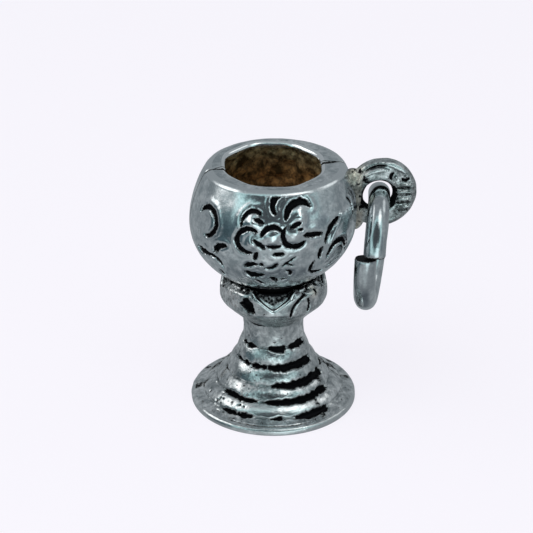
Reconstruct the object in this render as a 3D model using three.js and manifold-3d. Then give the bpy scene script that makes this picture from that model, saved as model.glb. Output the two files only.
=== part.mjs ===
// A silver charm in the form of a Roemer goblet, with a hanging eye and a jump ring.
// Millimetres, +Z up. The origin is the centre of the foot's underside, +X points to the eye.
import * as THREE from "three";
import { mergeVertices } from "three/addons/utils/BufferGeometryUtils.js";
import Module from "manifold-3d";

// Heights on the goblet's axis
const RIM_Z = 14.0;
const BELLY_Z = 11.0;
const BOWL_BASE_Z = 7.8;
const COLLAR_TOP_Z = 7.7;
const NECK_TOP_Z = 5.22;

// Bowl: its outline is two quarter ellipses that meet at the belly
const BELLY_R = 4.49;
const OUTER_RISE = 5.2;
const OUTER_DROP = 3.7;
const RIM_ROUND = 0.2;
const CAVITY_R = 3.5;
const CAVITY_RISE = 4.64;
const CAVITY_FLOOR_Z = 8.8;
const MOUTH_X = -0.12;
const MOUTH_Y = 0.22;
const MOUTH_SQUEEZE_X = 0.955;
const MOUTH_SQUEEZE_Y = 1.045;
const LEAN = 0.05;
const LEAN_PIVOT_Z = 11.6;
const SEAM_GAP = 0.03;

// Stem: collar, neck and ringed foot
const COLLAR_R = 2.93;
const COLLAR_LOW_Z = 6.35;
const COLLAR_LIP_R = 2.62;
const COLLAR_ROUND = 0.14;
const FLARE = [2.26, 5.7];
const CREASE_R = 1.78;
const CREASE_DEPTH = 0.08;
const GUTTER_R = 2.05;
const GUTTER_Z = 7.2;
const SEAT_R = 1.9;
const NECK_R = 1.64;
const NECK_MID_Z = 4.5;
const FOOT_R = 4.56;
const FOOT_EDGE = 0.34;
const FOOT_ROUND = 0.12;
const RING_GROOVES = [[3.85, 0.68], [3.15, 1.28], [2.57, 1.95], [2.06, 2.83], [1.72, 3.77]];
const GROOVE_DEPTH = 0.16;
const RIB_SWELL = 0.07;
const JOINT_GAP = 0.02;

// Collar petals: notches cut down between them, and a pit carved beside each notch
const PETALS = 4;
const NOTCH_HALF_WIDTH = 1.12;
const NOTCH_FLOOR_Z = 6.8;
const NOTCH_SLOPE = 0.5;
const PIT_R = 0.36;
const PIT_Z = 6.95;
const PIT_TURN = THREE.MathUtils.degToRad(-28);
const PIT_DEPTH = 0.3;
const PIT_SIDES = 5;

// Hanging eye: a thick ring whose hole sits nearer to the bowl
const EYE_X = 5.8;
const EYE_Z = 12.05;
const EYE_R = 1.9;
const EYE_THICK = 0.8;
const EYE_ROUND = 0.3;
const HOLE_X = 5.59;
const HOLE_Z = 11.8;
const HOLE_R = 0.9;
const SOLDER = [
  { at: [4.25, 0, 12.7], half: [0.6, 0.6, 0.8] },
  { at: [4.38, 0, 10.95], half: [0.5, 0.42, 0.75] },
];

// Punch marks on the eye's face: two bars, and two dots above them
const MARK_DEPTH = 0.1;
const BAR_ENDS = [6.75, 7.4];
const BAR_RISES = [0.1, -0.55];
const BAR_HALF = 0.14;
const DOTS = [[6.35, 0.95], [6.95, 0.85]];
const DOT_R = 0.17;

// Jump ring: open round wire, its two ends sprung sideways
const WIRE_R = 0.59;
const RING_R = 2.79;
const RING_CENTRE = [5.46, -0.59, 8.96];
const RING_YAW = THREE.MathUtils.degToRad(-14.5);
const RING_ROLL = THREE.MathUtils.degToRad(1.2);
const RING_CUT = THREE.MathUtils.degToRad(75);
const RING_CUT_WIDTH = THREE.MathUtils.degToRad(2);
const RING_SPRUNG = [0.16, -0.33];

// Facets. A full arc of a shape gets two sides for each of its curve segments.
const TURN_STEPS = 32;
const WALL_RINGS = 11;
const CAVITY_RINGS = 5;
const FLOOR_RINGS = 4;
const WIRE_SEGMENTS = 6;
const WIRE_STEPS = 28;
const STROKE_SEGMENTS = 3;
const STROKE_STEPS = 4;
const EYE_SEGMENTS = 10;
const EYE_BEVELS = 2;
const LUMP_SIDES = 10;
const LUMP_RINGS = 8;
const DOT_SIDES = 8;

// A cutter reaches this far past what it cuts. Corners closer than WELD are one corner.
const CLEAR = 1;
const WELD = 1e-4;
const STRAIGHT = 0.01;

// Carved strokes on the bowl. Each is an arc from one point through a second to a third, with its width.
// A point is [distance round the belly, height over the belly], from the middle of the decorated side.
const FLOWER = [
  [[0.05, 2.05], [-0.25, 2.5], [0.3, 2.85], 0.3],
  [[0.7, 1.7], [1.05, 2.4], [2.05, 2.05], 0.34],
  [[-1.8, 1.35], [-1.6, 2.0], [-0.75, 2.0], 0.2],
  [[-1.1, 1.75], [-0.85, 1.7], [-0.6, 1.6], 0.2],
  [[-0.95, 1.15], [-1.95, 0.6], [-1.15, 0.0], 0.25],
  [[-1.05, 0.75], [-0.75, 0.5], [-0.45, 0.3], 0.22],
  [[-0.65, 0.95], [-0.2, 1.4], [0.35, 1.2], 0.24],
  [[-0.35, 0.5], [0.0, 0.42], [0.35, 0.45], 0.18],
  [[0.55, 1.35], [0.55, 0.55], [1.5, 0.5], 0.25],
  [[0.85, 1.35], [1.15, 1.5], [1.4, 1.55], 0.18],
  [[1.6, 0.95], [2.1, 0.8], [2.75, 0.75], 0.28],
];
const SMALL_FLOWER = [
  [[-0.85, 0.0], [-0.9, -0.2], [-0.9, -0.35], 0.18],
  [[0.05, -0.05], [0.3, -0.08], [0.5, 0.0], 0.16],
  [[-1.45, -0.9], [-1.15, -0.72], [-0.85, -0.65], 0.18],
  [[-0.35, -0.85], [-0.05, -0.85], [0.25, -0.6], 0.16],
  [[0.55, -0.75], [0.85, -0.5], [1.2, -0.25], 0.16],
  [[-1.45, -1.25], [-1.1, -1.42], [-0.5, -1.3], 0.28],
  [[0.8, -1.15], [0.95, -1.2], [1.05, -1.35], 0.18],
  [[0.1, -1.55], [0.25, -1.75], [0.3, -1.95], 0.2],
  [[-0.95, -1.8], [-0.7, -2.0], [-0.45, -2.2], 0.18],
];
const LEFT_SCROLL = [
  [[-4.45, 1.55], [-3.45, 0.95], [-4.2, 0.3], 0.25],
  [[-4.85, -0.75], [-4.2, -0.75], [-3.7, -0.9], 0.22],
  [[-3.3, -0.45], [-3.0, -0.03], [-2.5, 0.1], 0.28],
  [[-3.35, -0.65], [-3.1, -1.0], [-2.85, -1.4], 0.16],
];
const RIGHT_LEAF = [
  [[3.9, 1.25], [3.4, 0.8], [2.95, 0.3], 0.22],
  [[2.7, 0.0], [2.62, -0.3], [2.6, -0.65], 0.22],
  [[3.2, -0.75], [3.7, -0.25], [4.45, -0.45], 0.25],
  [[2.25, -0.7], [2.3, -1.3], [3.1, -1.5], 0.2],
];
const STROKE_CUT = 0.6;
const FRONT = THREE.MathUtils.degToRad(-98.7);
const BACK = FRONT + Math.PI;

const wasm = await Module();
wasm.setup();

// Solids and meshes
function solidOf(geometry) {
  const bare = geometry.index ? geometry.toNonIndexed() : geometry.clone();
  bare.deleteAttribute("normal");
  bare.deleteAttribute("uv");
  const welded = mergeVertices(bare, WELD);
  const triangles = [];
  for (let i = 0; i < welded.index.count; i += 3) {
    const corners = [0, 1, 2].map((k) => welded.index.getX(i + k));
    if (new Set(corners).size === 3) triangles.push(...corners);
  }
  const vertProperties = new Float32Array(welded.attributes.position.array);
  const triVerts = new Uint32Array(triangles);
  return new wasm.Manifold(new wasm.Mesh({ numProp: 3, vertProperties, triVerts }));
}

function geometryOf(solid) {
  const mesh = solid.getMesh();
  const geometry = new THREE.BufferGeometry();
  geometry.setAttribute("position", new THREE.BufferAttribute(mesh.vertProperties, 3));
  geometry.setIndex(new THREE.BufferAttribute(mesh.triVerts, 1));
  return geometry;
}

function turned(profile) {
  const points = profile.map(([r, z]) => new THREE.Vector2(r, z));
  return new THREE.LatheGeometry(points, TURN_STEPS).rotateX(Math.PI / 2);
}

function block(low, high) {
  const size = high.map((value, i) => value - low[i]);
  const middle = high.map((value, i) => (value + low[i]) / 2);
  return new THREE.BoxGeometry(...size).translate(...middle);
}

function ellipseR(z, widest, rise, drop) {
  const reach = (z - BELLY_Z) / (z > BELLY_Z ? rise : drop);
  return widest * Math.sqrt(Math.max(0, 1 - reach * reach));
}

function bowlR(z) {
  return ellipseR(z, BELLY_R, OUTER_RISE, OUTER_DROP);
}

function spread(from, to, count) {
  return Array.from({ length: count + 1 }, (_, i) => from + ((to - from) * i) / count);
}

// Bowl
function bowlBody() {
  const rimR = bowlR(RIM_Z);
  const wall = spread(BOWL_BASE_Z, RIM_Z - RIM_ROUND, WALL_RINGS).map((z) => [bowlR(z), z]);
  const rim = [[rimR - RIM_ROUND, RIM_Z], [0, RIM_Z]];
  return solidOf(turned([[0, BOWL_BASE_Z], ...wall, ...rim]));
}

function bowlCavity() {
  const drop = BELLY_Z - CAVITY_FLOOR_Z;
  const cavityR = (z) => ellipseR(z, CAVITY_R, CAVITY_RISE, drop);
  const floor = spread(0, 1, FLOOR_RINGS).slice(1).map((t) => BELLY_Z - drop * Math.cos((t * Math.PI) / 2));
  const upper = spread(BELLY_Z, RIM_Z - RIM_ROUND, CAVITY_RINGS).slice(1);
  const wall = [...floor, ...upper].map((z) => [cavityR(z), z]);
  const mouthR = cavityR(RIM_Z);
  const mouth = [[mouthR + RIM_ROUND, RIM_Z], [mouthR + RIM_ROUND, RIM_Z + CLEAR], [0, RIM_Z + CLEAR]];
  const cavity = turned([[0, CAVITY_FLOOR_Z], ...wall, ...mouth]);
  return solidOf(cavity.scale(MOUTH_SQUEEZE_X, MOUTH_SQUEEZE_Y, 1).translate(MOUTH_X, MOUTH_Y, 0));
}

function arcThrough(a, b, c) {
  const [p, q, r] = [a, b, c].map(([x, y]) => new THREE.Vector2(x, y));
  const bend = 2 * (p.x * (q.y - r.y) + q.x * (r.y - p.y) + r.x * (p.y - q.y));
  if (Math.abs(bend) < STRAIGHT) return (t) => p.clone().lerp(r, t);
  const [pp, qq, rr] = [p, q, r].map((point) => point.lengthSq());
  const centre = new THREE.Vector2(
    (pp * (q.y - r.y) + qq * (r.y - p.y) + rr * (p.y - q.y)) / bend,
    (pp * (r.x - q.x) + qq * (p.x - r.x) + rr * (q.x - p.x)) / bend,
  );
  const [from, via, to] = [p, q, r].map((point) => point.clone().sub(centre).angle());
  const full = 2 * Math.PI;
  const ahead = (angle) => (angle - from + full) % full;
  const sweep = ahead(via) < ahead(to) ? ahead(to) : ahead(to) - full;
  const radius = p.distanceTo(centre);
  return (t) => new THREE.Vector2(radius, 0).rotateAround(new THREE.Vector2(), from + sweep * t).add(centre);
}

function stroke([a, b, c, width], middle) {
  const arc = arcThrough(a, b, c);
  const points = spread(0, 1, STROKE_STEPS).map((t) => {
    const { x, y } = arc(t);
    const z = BELLY_Z + y;
    const angle = middle + x / BELLY_R;
    return new THREE.Vector3(bowlR(z) * Math.cos(angle), bowlR(z) * Math.sin(angle), z);
  });
  const section = new THREE.Shape();
  section.absarc(0, 0, width * STROKE_CUT, 0, 2 * Math.PI);
  const extrudePath = new THREE.CatmullRomCurve3(points);
  const options = { extrudePath, steps: STROKE_STEPS, curveSegments: STROKE_SEGMENTS };
  return solidOf(new THREE.ExtrudeGeometry(section, options));
}

function carvedBowl() {
  let bowl = bowlBody().subtract(bowlCavity());
  for (const row of [...FLOWER, ...SMALL_FLOWER, ...LEFT_SCROLL, ...RIGHT_LEAF]) {
    bowl = bowl.subtract(stroke(row, FRONT));
  }
  for (const row of [...FLOWER, ...LEFT_SCROLL, ...RIGHT_LEAF]) {
    bowl = bowl.subtract(stroke(row, BACK));
  }
  return bowl;
}

function leaned(geometry) {
  const shear = new THREE.Matrix4().makeShear(0, 0, 0, 0, LEAN, 0);
  shear.setPosition(-LEAN * LEAN_PIVOT_Z, 0, 0);
  return geometry.applyMatrix4(shear);
}

function bowlHalf(bowl, side) {
  const reach = BELLY_R + CLEAR;
  const near = (side * SEAM_GAP) / 2;
  const far = side * reach;
  const low = [-reach, Math.min(near, far), 0];
  const high = [reach, Math.max(near, far), RIM_Z + CLEAR];
  return geometryOf(bowl.intersect(solidOf(block(low, high))));
}

// Stem
function ringedSlope() {
  const slope = [];
  RING_GROOVES.forEach(([r, z], i) => {
    const [nextR, nextZ] = RING_GROOVES[i + 1] ?? [NECK_R, NECK_MID_Z];
    const swell = RING_GROOVES[i + 1] ? RIB_SWELL : 0;
    slope.push([r - GROOVE_DEPTH / 2, z - GROOVE_DEPTH / 2], [r + RIB_SWELL / 2, z + GROOVE_DEPTH]);
    slope.push([(r + nextR) / 2 + swell, (z + nextZ) / 2 + swell]);
    if (swell) slope.push([nextR + RIB_SWELL, nextZ - GROOVE_DEPTH / 2]);
  });
  return slope;
}

function stemProfile() {
  const [grooveR, grooveZ] = RING_GROOVES[0];
  const brim = [
    [0, 0], [FOOT_R - FOOT_ROUND, 0], [FOOT_R, FOOT_ROUND], [FOOT_R, FOOT_EDGE - FOOT_ROUND],
    [FOOT_R - FOOT_ROUND, FOOT_EDGE], [grooveR + RIB_SWELL, grooveZ - GROOVE_DEPTH],
  ];
  const neck = [[NECK_R, NECK_MID_Z], [CREASE_R - CREASE_DEPTH, NECK_TOP_Z - CREASE_DEPTH]];
  const collar = [
    [CREASE_R, NECK_TOP_Z], FLARE, [COLLAR_R - COLLAR_ROUND, COLLAR_LOW_Z - COLLAR_ROUND],
    [COLLAR_R, COLLAR_LOW_Z + COLLAR_ROUND], [COLLAR_R, COLLAR_TOP_Z - 2 * COLLAR_ROUND],
    [COLLAR_LIP_R, COLLAR_TOP_Z], [GUTTER_R, GUTTER_Z],
  ];
  const seatZ = BOWL_BASE_Z - JOINT_GAP;
  return [...brim, ...ringedSlope(), ...neck, ...collar, [SEAT_R, seatZ], [0, seatZ]];
}

function petalNotch() {
  const outline = new THREE.Shape();
  outline.moveTo(0, NOTCH_FLOOR_Z);
  outline.lineTo(NOTCH_HALF_WIDTH, COLLAR_TOP_Z);
  outline.lineTo(NOTCH_HALF_WIDTH, COLLAR_TOP_Z + CLEAR);
  outline.lineTo(-NOTCH_HALF_WIDTH, COLLAR_TOP_Z + CLEAR);
  outline.lineTo(-NOTCH_HALF_WIDTH, COLLAR_TOP_Z);
  const options = { depth: COLLAR_R, bevelEnabled: false };
  const climb = new THREE.Matrix4().makeShear(0, -NOTCH_SLOPE, 0, 0, 0, 0);
  return new THREE.ExtrudeGeometry(outline, options).rotateX(Math.PI / 2).rotateZ(Math.PI / 2)
    .translate(GUTTER_R, 0, 0).applyMatrix4(climb).translate(0, 0, NOTCH_SLOPE * COLLAR_R);
}

function petalPit() {
  return new THREE.CylinderGeometry(PIT_R, PIT_R, CLEAR, PIT_SIDES).rotateZ(-Math.PI / 2)
    .translate(COLLAR_R - PIT_DEPTH + CLEAR / 2, 0, PIT_Z);
}

function stem() {
  let body = solidOf(turned(stemProfile()));
  for (let i = 0; i < PETALS; i += 1) {
    const angle = FRONT + (2 * Math.PI * i) / PETALS;
    body = body.subtract(solidOf(petalNotch().rotateZ(angle)));
    body = body.subtract(solidOf(petalPit().rotateZ(angle + PIT_TURN)));
  }
  return geometryOf(body);
}

// Hanging eye
function eyePlate() {
  const outline = new THREE.Shape();
  outline.absarc(0, 0, EYE_R - EYE_ROUND, 0, 2 * Math.PI);
  const hole = new THREE.Path();
  hole.absarc(HOLE_X - EYE_X, HOLE_Z - EYE_Z, HOLE_R + EYE_ROUND, 0, 2 * Math.PI, true);
  outline.holes.push(hole);
  const depth = EYE_THICK - 2 * EYE_ROUND;
  const bevel = { bevelThickness: EYE_ROUND, bevelSize: EYE_ROUND, bevelSegments: EYE_BEVELS };
  const options = { depth, curveSegments: EYE_SEGMENTS, ...bevel };
  return new THREE.ExtrudeGeometry(outline, options).translate(0, 0, -depth / 2).rotateX(Math.PI / 2)
    .translate(EYE_X, 0, EYE_Z);
}

function solderLump({ at, half }) {
  return new THREE.SphereGeometry(1, LUMP_SIDES, LUMP_RINGS).scale(...half).translate(...at);
}

function punchMarks() {
  const face = -EYE_THICK / 2;
  const deep = face + MARK_DEPTH;
  const [from, to] = BAR_ENDS;
  const bars = BAR_RISES.map((rise) => {
    const z = EYE_Z + rise;
    return block([from, face - CLEAR, z - BAR_HALF], [to, deep, z + BAR_HALF]);
  });
  const dots = DOTS.map(([x, rise]) => {
    const dot = new THREE.CylinderGeometry(DOT_R, DOT_R, CLEAR, DOT_SIDES);
    return dot.translate(x, deep - CLEAR / 2, EYE_Z + rise);
  });
  return [...bars, ...dots];
}

function hangingEye() {
  let eye = solidOf(eyePlate());
  for (const lump of SOLDER) eye = eye.add(solidOf(solderLump(lump)));
  for (const mark of punchMarks()) eye = eye.subtract(solidOf(mark));
  const wall = spread(BOWL_BASE_Z, RIM_Z, WALL_RINGS).map((z) => [bowlR(z) + JOINT_GAP, z]);
  const bowl = leaned(turned([[0, BOWL_BASE_Z], ...wall, [0, RIM_Z]]));
  return geometryOf(eye.subtract(solidOf(bowl)));
}

// Jump ring
class RingPath extends THREE.Curve {
  getPoint(t, target = new THREE.Vector3()) {
    const angle = RING_CUT - RING_CUT_WIDTH / 2 - t * (2 * Math.PI - RING_CUT_WIDTH);
    const side = new THREE.Vector3(Math.cos(RING_YAW), Math.sin(RING_YAW), 0);
    const ahead = new THREE.Vector3(Math.sin(RING_YAW), -Math.cos(RING_YAW), 0);
    const up = new THREE.Vector3(0, 0, Math.cos(RING_ROLL)).addScaledVector(side, Math.sin(RING_ROLL));
    return target.set(...RING_CENTRE)
      .addScaledVector(up, RING_R * Math.cos(angle))
      .addScaledVector(ahead, RING_R * Math.sin(angle))
      .addScaledVector(side, THREE.MathUtils.lerp(...RING_SPRUNG, t));
  }
}

function jumpRing() {
  const section = new THREE.Shape();
  section.absarc(0, 0, WIRE_R, 0, 2 * Math.PI);
  const options = { extrudePath: new RingPath(), steps: WIRE_STEPS, curveSegments: WIRE_SEGMENTS };
  return geometryOf(solidOf(new THREE.ExtrudeGeometry(section, options)));
}

// Scene graph
function silver(color, roughness) {
  return new THREE.MeshStandardMaterial({ color, roughness, metalness: 1 });
}

function named(name, geometry, material) {
  const mesh = new THREE.Mesh(geometry, material);
  mesh.name = name;
  return mesh;
}

const charm = new THREE.Group();
const bowl = carvedBowl();
charm.add(named("bowl_front", leaned(bowlHalf(bowl, -1)), silver(0x8f9598, 0.3)));
charm.add(named("bowl_back", leaned(bowlHalf(bowl, 1)), silver(0x8f9598, 0.3)));
charm.add(named("stem_foot", stem(), silver(0x868b8f, 0.38)));
charm.add(named("hanging_eye", hangingEye(), silver(0x7d8382, 0.42)));
charm.add(named("jump_ring", jumpRing(), silver(0x9aa0a3, 0.28)));

export default charm;
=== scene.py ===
import math

import bpy
import numpy as np
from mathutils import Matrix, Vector


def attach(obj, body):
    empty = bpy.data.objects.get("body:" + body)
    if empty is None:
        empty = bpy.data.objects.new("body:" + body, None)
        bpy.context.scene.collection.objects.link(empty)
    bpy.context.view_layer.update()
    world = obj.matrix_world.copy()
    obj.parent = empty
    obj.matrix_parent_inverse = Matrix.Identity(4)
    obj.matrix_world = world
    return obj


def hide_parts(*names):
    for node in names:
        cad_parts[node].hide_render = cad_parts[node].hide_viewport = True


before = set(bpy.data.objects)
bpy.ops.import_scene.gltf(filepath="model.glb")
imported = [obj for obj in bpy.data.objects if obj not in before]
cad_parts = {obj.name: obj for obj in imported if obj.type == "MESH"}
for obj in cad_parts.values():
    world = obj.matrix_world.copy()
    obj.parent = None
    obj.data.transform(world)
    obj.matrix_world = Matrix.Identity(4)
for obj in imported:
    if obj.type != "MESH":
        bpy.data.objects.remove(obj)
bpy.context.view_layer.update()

# A silver goblet charm: two bowl halves, stem and foot, hanging eye and jump ring.
# Shapes are worked out in millimetres, in the frame of the solids, and scaled to metres at the end.
MM = 0.001

# Camera of the photograph
CAMERA_AT = (-15.43, -100.83, 60.2)
CAMERA_AIM = (-0.377, 0.058, 7.97)
LENS = 142.7

# Bowl: two quarter ellipses that meet at the belly, a little askew on the stem
RIM_Z = 14.0
BELLY_Z = 11.0
BOWL_BASE_Z = 7.8
BELLY_R = 4.49
OUTER_RISE = 5.2
OUTER_DROP = 3.7
CAVITY_R = 3.5
CAVITY_RISE = 4.64
CAVITY_FLOOR_Z = 8.8
MOUTH_SQUEEZE_X = 0.955
MOUTH_SQUEEZE_Y = 1.045
LEAN = 0.05
LEAN_PIVOT_Z = 11.6
SEAM_GAP = 0.03
RIM_ROUND = 0.46
FRONT_TUCK = 0.07
TUCK_Z = 12.2
RIM_TILT = math.radians(31)
MOUTH_ROUND = 0.22
MOUTH_X = -0.12
MOUTH_Y = 0.22
MOUTH_SIDES = 8
MOUTH_FACET = 0.016

# Stem: collar, neck and ringed foot
COLLAR_TOP_Z = 7.7
COLLAR_LOW_Z = 6.49
COLLAR_R = 2.93
COLLAR_LIP_R = 2.66
COLLAR_TURN_Z = 7.42
LIP_ROUND = 0.18
SHELF_Z = 7.5
SHELF_STEP = 0.6
SHELF_TARNISH = 0.68
PETALS = 4
NOTCH_HALF_WIDTH = 1.32
NOTCH_FLOOR_Z = 6.72
GUTTER_R = 2.05
GUTTER_Z = 7.2
SEAT_R = 1.9
SEAT_Z = BOWL_BASE_Z - 0.02
FOOT_R = 4.56
FOOT_EDGE = 0.38
FOOT_ROUND = 0.19
FOOT_TOE = 0.05
BRIM_LINE = 0.16
BRIM_POLISH = 0.55
# Painted highlight: lighter metal on the outermost rib, on the side facing the camera
RIB_HIGHLIGHT = 0.8
RIB_BULGE = 0.13
RING_GROOVES = [(3.85, 0.68), (3.15, 1.28), (2.57, 1.95), (2.06, 2.83), (1.72, 3.77)]
NECK_POINTS = [(1.64, 4.5), (1.7, 5.1), (1.76, 5.2)]
FLARE_POINTS = [(1.84, 5.26), (2.26, 5.7), (2.79, 6.22), (2.91, 6.42)]
# Black stretches of each ring groove, in degrees from the middle of the front
RING_BLACK = [
    [(-45, -19), (-2, 6), (20, 49)],
    [(-56, -18), (-8, 64)],
    [(-88, -78), (-1, 78)],
    [(-69, -12), (-7, 69)],
    [(-70, -36), (-9, 22), (32, 70)],
]
# Strokes beside the front and back notches: (distance round the collar from the notch, height)
PETAL_MARKS = [
    ((-1.5, 7.32), (-1.45, 7.0), (-1.12, 6.6), 0.74, 0.0),
    ((-1.85, 6.98), (-1.45, 6.85), (-1.1, 6.58), 0.5, 0.0),
    ((1.8, 7.5), (1.33, 7.2), (0.95, 6.27), 0.22, 0.2),
    ((1.96, 7.27), (2.08, 6.85), (1.96, 6.42), 0.22, 0.0),
]
# Streaks of tarnish down the sides of the foot, how close and how black; and how much darker the collar's
# left side is made
STREAK_RATE = 4.0
STREAK_TARNISH = 0.72
COLLAR_LEFT_DARKER = 0.46
# A tan blob of solder on the collar's right shoulder
BOSS_TURN = math.radians(48)
BOSS_Z = 7.4
BOSS_R = 0.34
# Crease under the collar: (distance round the neck, height)
CREASE_MARKS = [
    ((-2.3, 5.36), (-1.2, 5.26), (-0.4, 5.19), 0.32, 0.3),
]

# Hanging eye and jump ring
EYE_X = 5.84
EYE_Z = 12.05
EYE_R = 1.92
EYE_THICK = 0.8
EYE_ROUND = 0.3
HOLE_X = 5.65
HOLE_Z = 11.97
HOLE_R = 0.82
WIRE_R = 0.59
RING_TALL = 2.92
RING_DEEP = 2.5
RING_CENTRE = (5.42, -0.56, 9.01)
RING_YAW = math.radians(-16.3)
RING_ROLL = math.radians(3.2)
RING_CUT = math.radians(78)
RING_CUT_WIDTH = math.radians(2)
RING_SPRUNG = (0.18, -0.26)
# The wire is bent up and to the left a little where it leaves the back of the eye
RING_HUMP = 0.15
RING_HUMP_LEFT = 0.1
RING_HUMP_AT = math.radians(-28)
RING_HUMP_WIDE = math.radians(30)

# Carved strokes on the bowl: an arc from one point through a second to a third, its width and its taper.
# A point is (distance round the belly, height over the belly). Taper 1 swells at the start, -1 at the end.
FLOWER = [
    ((0.35, 2.88), (-0.12, 2.48), (0.06, 2.05), 0.42, 0.2),
    ((0.62, 1.79), (1.04, 2.43), (2.07, 2.26), 0.44, 0.3),
    ((-1.8, 1.35), (-1.55, 2.0), (-0.75, 2.0), 0.28, -0.3),
    ((-1.1, 1.75), (-0.85, 1.7), (-0.6, 1.6), 0.26, 0.0),
    ((-0.92, 1.15), (-1.97, 0.6), (-1.12, 0.03), 0.36, -0.2),
    ((-1.05, 0.77), (-0.75, 0.52), (-0.45, 0.3), 0.3, 0.0),
    ((-0.65, 0.95), (-0.2, 1.42), (0.38, 1.22), 0.34, 0.0),
    ((-0.35, 0.46), (0.0, 0.4), (0.38, 0.47), 0.24, 0.0),
    ((0.58, 1.38), (0.74, 0.48), (1.66, 0.6), 0.36, -0.3),
    ((0.85, 1.35), (1.15, 1.5), (1.42, 1.57), 0.27, 0.0),
    ((1.25, 1.27), (1.4, 1.27), (1.55, 1.24), 0.18, 0.0),
    ((1.61, 0.92), (2.14, 0.85), (2.69, 0.78), 0.36, 0.1),
]
SMALL_FLOWER = [
    ((-0.85, 0.06), (-0.88, -0.15), (-0.95, -0.4), 0.29, 0.0),
    ((0.02, -0.05), (0.3, -0.02), (0.55, -0.04), 0.34, 0.0),
    ((-1.48, -0.9), (-1.15, -0.7), (-0.82, -0.66), 0.34, 0.2),
    ((-0.68, -0.66), (-0.6, -0.67), (-0.5, -0.67), 0.29, 0.0),
    ((-0.38, -0.85), (-0.05, -0.87), (0.25, -0.6), 0.26, -0.3),
    ((0.55, -0.75), (0.85, -0.5), (1.2, -0.25), 0.17, 0.3),
    ((0.73, -0.62), (0.95, -0.72), (1.12, -0.8), 0.18, 0.0),
    ((-1.48, -1.22), (-1.1, -1.42), (-0.45, -1.32), 0.46, 0.3),
    ((0.75, -1.12), (1.02, -1.2), (0.98, -1.45), 0.26, 0.0),
    ((0.42, -1.7), (0.7, -1.74), (0.98, -1.66), 0.16, 0.0),
    ((-0.05, -1.55), (0.18, -1.75), (0.3, -1.95), 0.38, -0.2),
    ((-0.98, -1.78), (-0.7, -2.0), (-0.42, -2.2), 0.31, 0.0),
]
LEFT_SCROLL = [
    ((-4.82, 1.32), (-3.41, 1.07), (-4.19, 0.24), 0.36, 0.0),
    ((-4.93, -0.85), (-4.3, -0.82), (-3.78, -0.8), 0.62, 0.2),
    ((-3.88, -0.8), (-3.32, -0.85), (-2.93, -1.36), 0.36, 0.0),
    ((-3.33, -1.66), (-3.26, -1.83), (-3.19, -2.01), 0.38, 0.0),
    ((-3.3, -0.49), (-3.05, -0.07), (-2.56, 0.1), 0.42, 0.4),
]
RIGHT_LEAF = [
    ((2.93, 0.23), (3.17, 0.83), (3.91, 1.3), 0.38, 0.0),
    ((2.62, -0.63), (2.62, -0.26), (2.72, 0.01), 0.3, 0.0),
    ((3.19, -0.75), (3.48, -0.12), (4.63, -0.7), 0.36, 0.2),
    ((3.5, -1.45), (4.0, -1.25), (4.55, -1.15), 0.16, 0.0),
    ((2.32, -0.74), (2.22, -1.1), (2.28, -1.44), 0.28, -0.3),
    ((2.28, -1.44), (2.7, -1.6), (3.23, -1.61), 0.28, 0.3),
    ((5.05, 1.95), (5.42, 1.6), (5.5, 1.15), 0.2, 0.0),
]
# Ridges that stand proud beside the leaf
LEAF_RIDGES = [
    ((4.23, 1.52), (3.6, 0.83), (3.16, 0.06), 0.34, 0.0),
]
# Petals of the flower stand proud as low domes: distance round the belly, height over it, radius
PETAL_DOMES = [(-1.2, 1.55, 0.5), (-1.1, 0.55, 0.5), (-0.1, 0.85, 0.5), (1.1, 1.0, 0.55), (1.4, 1.85, 0.5)]
DOME_HEIGHT = 0.2
# Middle of the carving, as an angle round the axis
FRONT = math.radians(-98.7)
BACK = FRONT + math.pi
# Section of a stroke: depth as a share of its width, half width at its ends and its swell between them,
# and the metal pushed up beside it
STROKE_DEPTH = 0.55
STROKE_TIP = 0.3
STROKE_SWELL = 0.63
STROKE_LIP = 0.035
STROKE_LIP_OUT = 0.15
STROKE_REACH = 0.5

# Marks punched in the eye, and dots, bars and rim ridges that stand proud: (distance right, height)
EYE_CUTS = [
    # The first two cuts are the black crescents beside the two dots: cut in a little and painted black as
    # the dots' shadows
    ((6.3, 12.9), (6.26, 13.1), (6.42, 13.28), 0.22, 0.0),
    ((6.88, 12.94), (7.08, 12.82), (7.26, 12.94), 0.22, 0.0),
    ((6.62, 12.37), (7.0, 12.36), (7.38, 12.35), 0.22, 0.0),
    ((6.6, 11.98), (7.0, 11.97), (7.4, 11.96), 0.16, 0.0),
    ((6.62, 11.52), (7.0, 11.51), (7.36, 11.5), 0.22, 0.0),
    ((6.7, 11.1), (7.0, 11.09), (7.25, 11.08), 0.2, 0.0),
    ((4.8, 13.36), (5.38, 13.7), (6.04, 13.72), 0.2, 0.0),
    ((5.0, 11.0), (5.15, 10.85), (5.35, 10.78), 0.16, 0.0),
    ((4.75, 11.75), (4.7, 11.5), (4.8, 11.3), 0.16, 0.0),
]
EYE_RIDGES = [
    ((4.4, 12.95), (5.18, 13.46), (6.1, 13.5), 0.34, 0.0),
    ((5.95, 13.82), (6.55, 13.62), (7.0, 13.28), 0.3, 0.0),
    ((6.6, 12.57), (7.0, 12.56), (7.4, 12.54), 0.17, 0.0),
    ((6.6, 12.16), (7.0, 12.15), (7.4, 12.14), 0.17, 0.0),
    ((6.62, 11.74), (7.0, 11.73), (7.4, 11.72), 0.17, 0.0),
    ((6.64, 11.3), (7.0, 11.29), (7.36, 11.28), 0.17, 0.0),
    ((6.5, 13.07), (6.53, 13.08), (6.56, 13.09), 0.34, 0.0),
    ((7.05, 13.1), (7.07, 13.11), (7.09, 13.12), 0.3, 0.0),
]
SOLDER_BALLS = [((4.25, 0, 12.7), (0.62, 0.62, 0.8)), ((4.42, 0, 10.85), (0.56, 0.44, 0.94))]
EYE_VOXEL = 0.035
EYE_SMOOTHING = 8

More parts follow.
